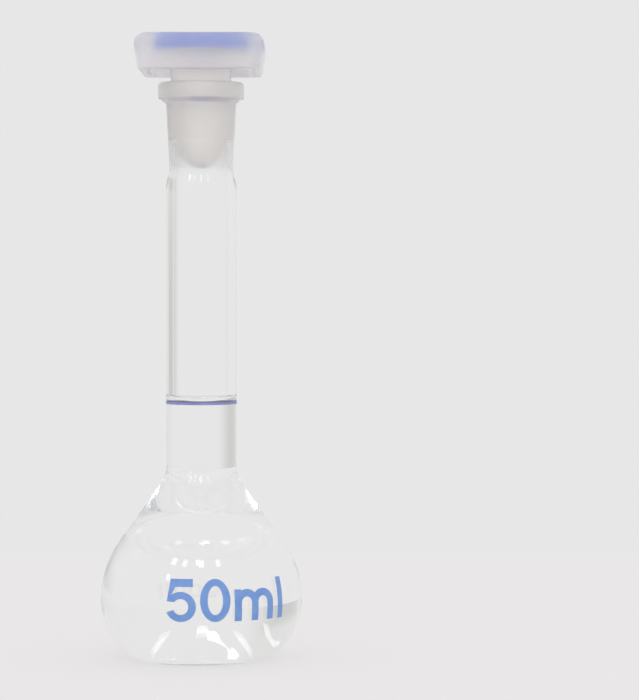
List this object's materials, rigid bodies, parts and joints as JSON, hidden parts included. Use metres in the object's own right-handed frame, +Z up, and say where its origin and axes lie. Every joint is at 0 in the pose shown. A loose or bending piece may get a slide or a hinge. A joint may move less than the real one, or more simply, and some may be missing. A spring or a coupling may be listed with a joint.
{
  "type": "volumetric flask",
  "caption": "Pear-shaped one-mark measuring flask of clear glass with a long neck, a ground taper socket and a moulded square-headed stopper that lifts out.",
  "frame": {"origin": "on the bench plane, on the flask's own axis", "axes": "+Z up along the neck's axis towards the mouth; X and Y along the flats of the stopper's square head"},
  "size_m": [0.049, 0.049, 0.1511],
  "materials": {
    "clear_glass": "clear, fire polished, with a ground matt socket",
    "blue_enamel": "fired enamel, satin",
    "milky_polypropylene": "translucent, satin moulded",
    "blue_polypropylene": "satin moulded"
  },
  "bodies": {
    "vessel": {"flask": "clear_glass", "ring_mark": "blue_enamel"},
    "closure": {"stopper": "milky_polypropylene", "size_disc": "blue_polypropylene"}
  },
  "joints": [
    {"name": "stopper_lift", "type": "slide", "parent": "vessel", "child": "closure", "axis": [0, 0, 1], "range_m": [0, 0.03]}
  ]
}
